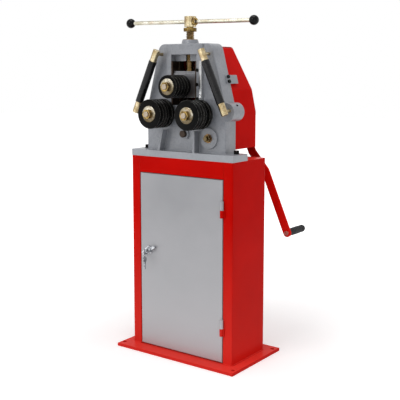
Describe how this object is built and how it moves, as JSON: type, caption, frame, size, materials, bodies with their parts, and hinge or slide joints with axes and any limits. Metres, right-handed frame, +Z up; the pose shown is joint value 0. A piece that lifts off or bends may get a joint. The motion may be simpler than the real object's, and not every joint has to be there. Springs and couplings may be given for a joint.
{
  "type": "ring roller",
  "caption": "Hand-cranked ring and section roller on a steel cabinet: screw-set upper roller, geared lower rollers, side guides and a lockable door.",
  "frame": {"origin": "on the floor, under the middle of the base plate", "axes": "+Z up, -Y towards the front with the rollers and the door, +X to the right seen from the front"},
  "size_m": [0.5655, 0.5423, 1.2836],
  "materials": {
    "red_paint": "gloss",
    "door_grey": "satin",
    "casting_grey": "satin paint over cast texture",
    "black_steel": "blackened, lightly oiled",
    "black_tube": "satin black",
    "yellow_zinc": "yellow zinc plate",
    "bright_steel": "turned, bright",
    "gear_steel": "machined, oiled",
    "chrome": "polished",
    "bronze": "machined",
    "black_knob": "gloss",
    "black_grip": "matte"
  },
  "bodies": {
    "stand": {"base_plate": "red_paint", "cabinet_body": "red_paint", "header_rail": "red_paint", "top_plate": "red_paint", "frame_knuckles": "red_paint", "hinge_pins": "bright_steel", "head_casting": "casting_grey", "foot_bolts": "black_steel", "screw_nut": "bronze", "gib_strips": "gear_steel", "shaft_bushes": "bronze", "idler_axle": "black_steel", "rear_plate": "gear_steel", "plate_pillars": "gear_steel", "gear_cover": "red_paint", "cover_clips": "casting_grey", "socket_screws": "black_steel"},
    "door": {"door_panel": "door_grey", "door_knuckles": "door_grey", "lock_barrel": "chrome"},
    "lock": {"lock_lever": "chrome", "lock_cam": "chrome"},
    "keys": {"lock_key": "chrome", "key_ring": "chrome", "spare_key": "chrome"},
    "carriage": {"slide_block": "casting_grey", "top_bushes": "bronze", "spindle_retainer": "casting_grey"},
    "pressure_screw": {"spindle": "yellow_zinc", "screw_hub": "yellow_zinc", "jam_nut": "yellow_zinc", "t_bar": "yellow_zinc", "ball_knobs": "black_knob"},
    "top_roller": {"top_shaft": "bright_steel", "top_rings": "black_steel", "top_washer": "yellow_zinc", "top_nut": "yellow_zinc"},
    "left_roller": {"left_shaft": "bright_steel", "left_rings": "black_steel", "left_washer": "yellow_zinc", "left_nut": "yellow_zinc", "left_gear": "gear_steel", "left_key": "gear_steel"},
    "right_roller": {"right_shaft": "bright_steel", "right_rings": "black_steel", "right_washer": "yellow_zinc", "right_nut": "yellow_zinc", "right_gear": "gear_steel", "right_key": "gear_steel"},
    "idler": {"idler_gear": "gear_steel"},
    "crank": {"crank_shaft": "bright_steel", "crank_pinion": "gear_steel", "crank_nut": "yellow_zinc", "crank_arm": "red_paint", "grip_bolt": "bright_steel"},
    "crank_grip": {"grip": "black_grip"},
    "left_guide": {"left_guide_frame": "yellow_zinc"},
    "left_guide_roll": {"left_guide_tube": "black_tube"},
    "right_guide": {"right_guide_frame": "yellow_zinc"},
    "right_guide_roll": {"right_guide_tube": "black_tube"}
  },
  "joints": [
    {"name": "door_hinge", "type": "hinge", "parent": "stand", "child": "door", "pos_m": [0.19375, -0.1173, 0.357], "axis": [0, 0, 1], "range_deg": [0, 110]},
    {"name": "lock_turn", "type": "hinge", "parent": "door", "child": "lock", "pos_m": [-0.15, -0.11, 0.398], "axis": [0, 1, 0], "range_deg": [0, 90]},
    {"name": "key_turn", "type": "hinge", "parent": "lock", "child": "keys", "pos_m": [-0.15, -0.12, 0.398], "axis": [0, 1, 0], "range_deg": [-90, 0]},
    {"name": "carriage_slide", "type": "slide", "parent": "stand", "child": "carriage", "axis": [0, 0, 1], "range_m": [-0.0251, 0.0351]},
    {"name": "spindle_turn", "type": "hinge", "parent": "carriage", "child": "pressure_screw", "pos_m": [0, -0.046, 1.2], "axis": [0, 0, 1], "range_deg": [-1500, 2100]},
    {"name": "top_roller_spin", "type": "hinge", "parent": "carriage", "child": "top_roller", "pos_m": [0, -0.13, 1.0285], "axis": [0, -1, 0], "continuous": true},
    {"name": "left_roller_spin", "type": "hinge", "parent": "stand", "child": "left_roller", "pos_m": [-0.086, -0.12, 0.928], "axis": [0, -1, 0], "continuous": true},
    {"name": "right_roller_spin", "type": "hinge", "parent": "stand", "child": "right_roller", "pos_m": [0.086, -0.12, 0.928], "axis": [0, -1, 0], "continuous": true},
    {"name": "idler_spin", "type": "hinge", "parent": "stand", "child": "idler", "pos_m": [0, 0, 0.85317], "axis": [0, -1, 0], "continuous": true},
    {"name": "crank_spin", "type": "hinge", "parent": "stand", "child": "crank", "pos_m": [0.11, 0, 0.84126], "axis": [0, -1, 0], "continuous": true},
    {"name": "grip_spin", "type": "hinge", "parent": "crank", "child": "crank_grip", "pos_m": [0.27442, 0.27, 0.46131], "axis": [0, 1, 0], "continuous": true},
    {"name": "left_guide_slide", "type": "slide", "parent": "stand", "child": "left_guide", "axis": [0, -1, 0], "range_m": [-0.01, 0.03]},
    {"name": "left_guide_spin", "type": "hinge", "parent": "left_guide", "child": "left_guide_roll", "pos_m": [-0.108, -0.118, 1.146], "axis": [-0.4145, 0, -0.9101], "continuous": true},
    {"name": "right_guide_slide", "type": "slide", "parent": "stand", "child": "right_guide", "axis": [0, -1, 0], "range_m": [-0.01, 0.03]},
    {"name": "right_guide_spin", "type": "hinge", "parent": "right_guide", "child": "right_guide_roll", "pos_m": [0.108, -0.118, 1.146], "axis": [0.4145, 0, -0.9101], "continuous": true}
  ],
  "couplings": [
    {"joint": "carriage_slide", "follows": "spindle_turn", "m_per_rad": 0.00095493},
    {"joint": "key_turn", "follows": "lock_turn", "ratio": -1},
    {"joint": "right_roller_spin", "follows": "left_roller_spin", "ratio": 1},
    {"joint": "idler_spin", "follows": "left_roller_spin", "ratio": -1.5333},
    {"joint": "crank_spin", "follows": "left_roller_spin", "ratio": -3.2857}
  ]
}
